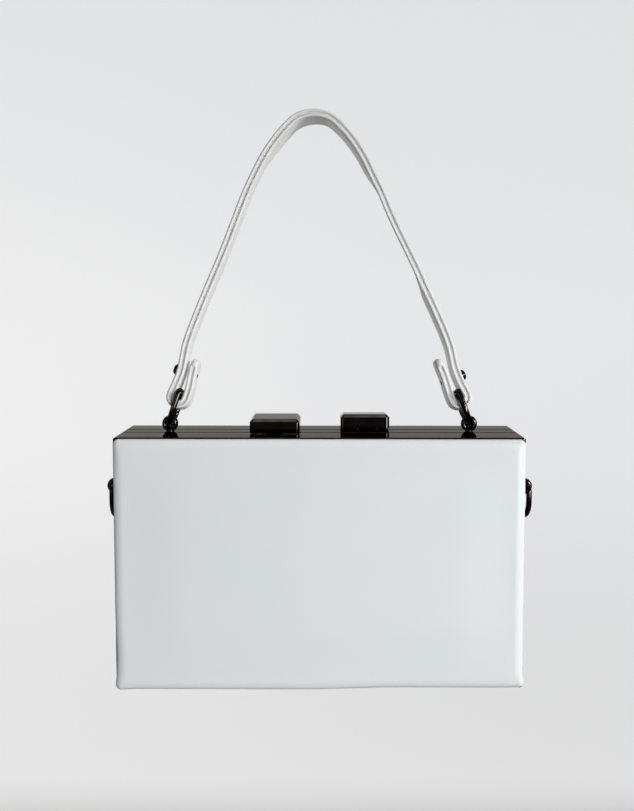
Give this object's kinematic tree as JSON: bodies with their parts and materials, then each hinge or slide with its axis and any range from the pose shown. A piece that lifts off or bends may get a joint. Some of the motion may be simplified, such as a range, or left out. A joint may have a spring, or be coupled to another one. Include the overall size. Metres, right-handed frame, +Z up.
{
  "type": "box clutch bag",
  "caption": "Rigid box clutch bag with a hinged metal frame, padded panels, top clasp blocks, a short strap handle on rings and hanging side rings.",
  "frame": {"origin": "under the top of the strap handle, where the bag hangs", "axes": "+Z up, -Y out of the front panel, +X to the right seen from the front"},
  "size_m": [0.2048, 0.0612, 0.2761],
  "materials": {
    "frame_metal": "polished gunmetal plating with faint brushed lines along the frame",
    "hardware_metal": "polished black gunmetal plating",
    "panel_leather": "smooth satin white leather over a padded board",
    "strap_leather": "smooth white leather in two plies with painted edges"
  },
  "bodies": {
    "case_back": {"rim_frame": "frame_metal", "back_frame": "frame_metal", "back_panel": "panel_leather", "clasp_back": "hardware_metal", "hinge_back": "hardware_metal", "post_left": "hardware_metal", "post_right": "hardware_metal", "lug_left": "hardware_metal", "lug_right": "hardware_metal", "strap_ring_left": "hardware_metal", "strap_ring_right": "hardware_metal", "rivet_left": "hardware_metal", "rivet_right": "hardware_metal", "strap": "strap_leather"},
    "case_front": {"front_frame": "frame_metal", "front_panel": "panel_leather", "clasp_front": "hardware_metal", "hinge_front": "hardware_metal"},
    "ring_left": {"side_ring_left": "hardware_metal"},
    "ring_right": {"side_ring_right": "hardware_metal"}
  },
  "joints": [
    {"name": "case_hinge", "type": "hinge", "parent": "case_back", "child": "case_front", "pos_m": [0.00302, -0.02948, -0.26977], "axis": [1, 0, 0], "range_deg": [0, 70]},
    {"name": "ring_left_swing", "type": "hinge", "parent": "case_back", "child": "ring_left", "pos_m": [-0.09578, -0.02328, -0.17727], "axis": [0.0349, 0.9994, 0], "range_deg": [-6, 186]},
    {"name": "ring_right_swing", "type": "hinge", "parent": "case_back", "child": "ring_right", "pos_m": [0.10182, -0.02328, -0.17727], "axis": [0.1564, -0.9877, 0], "range_deg": [-6, 186]}
  ]
}
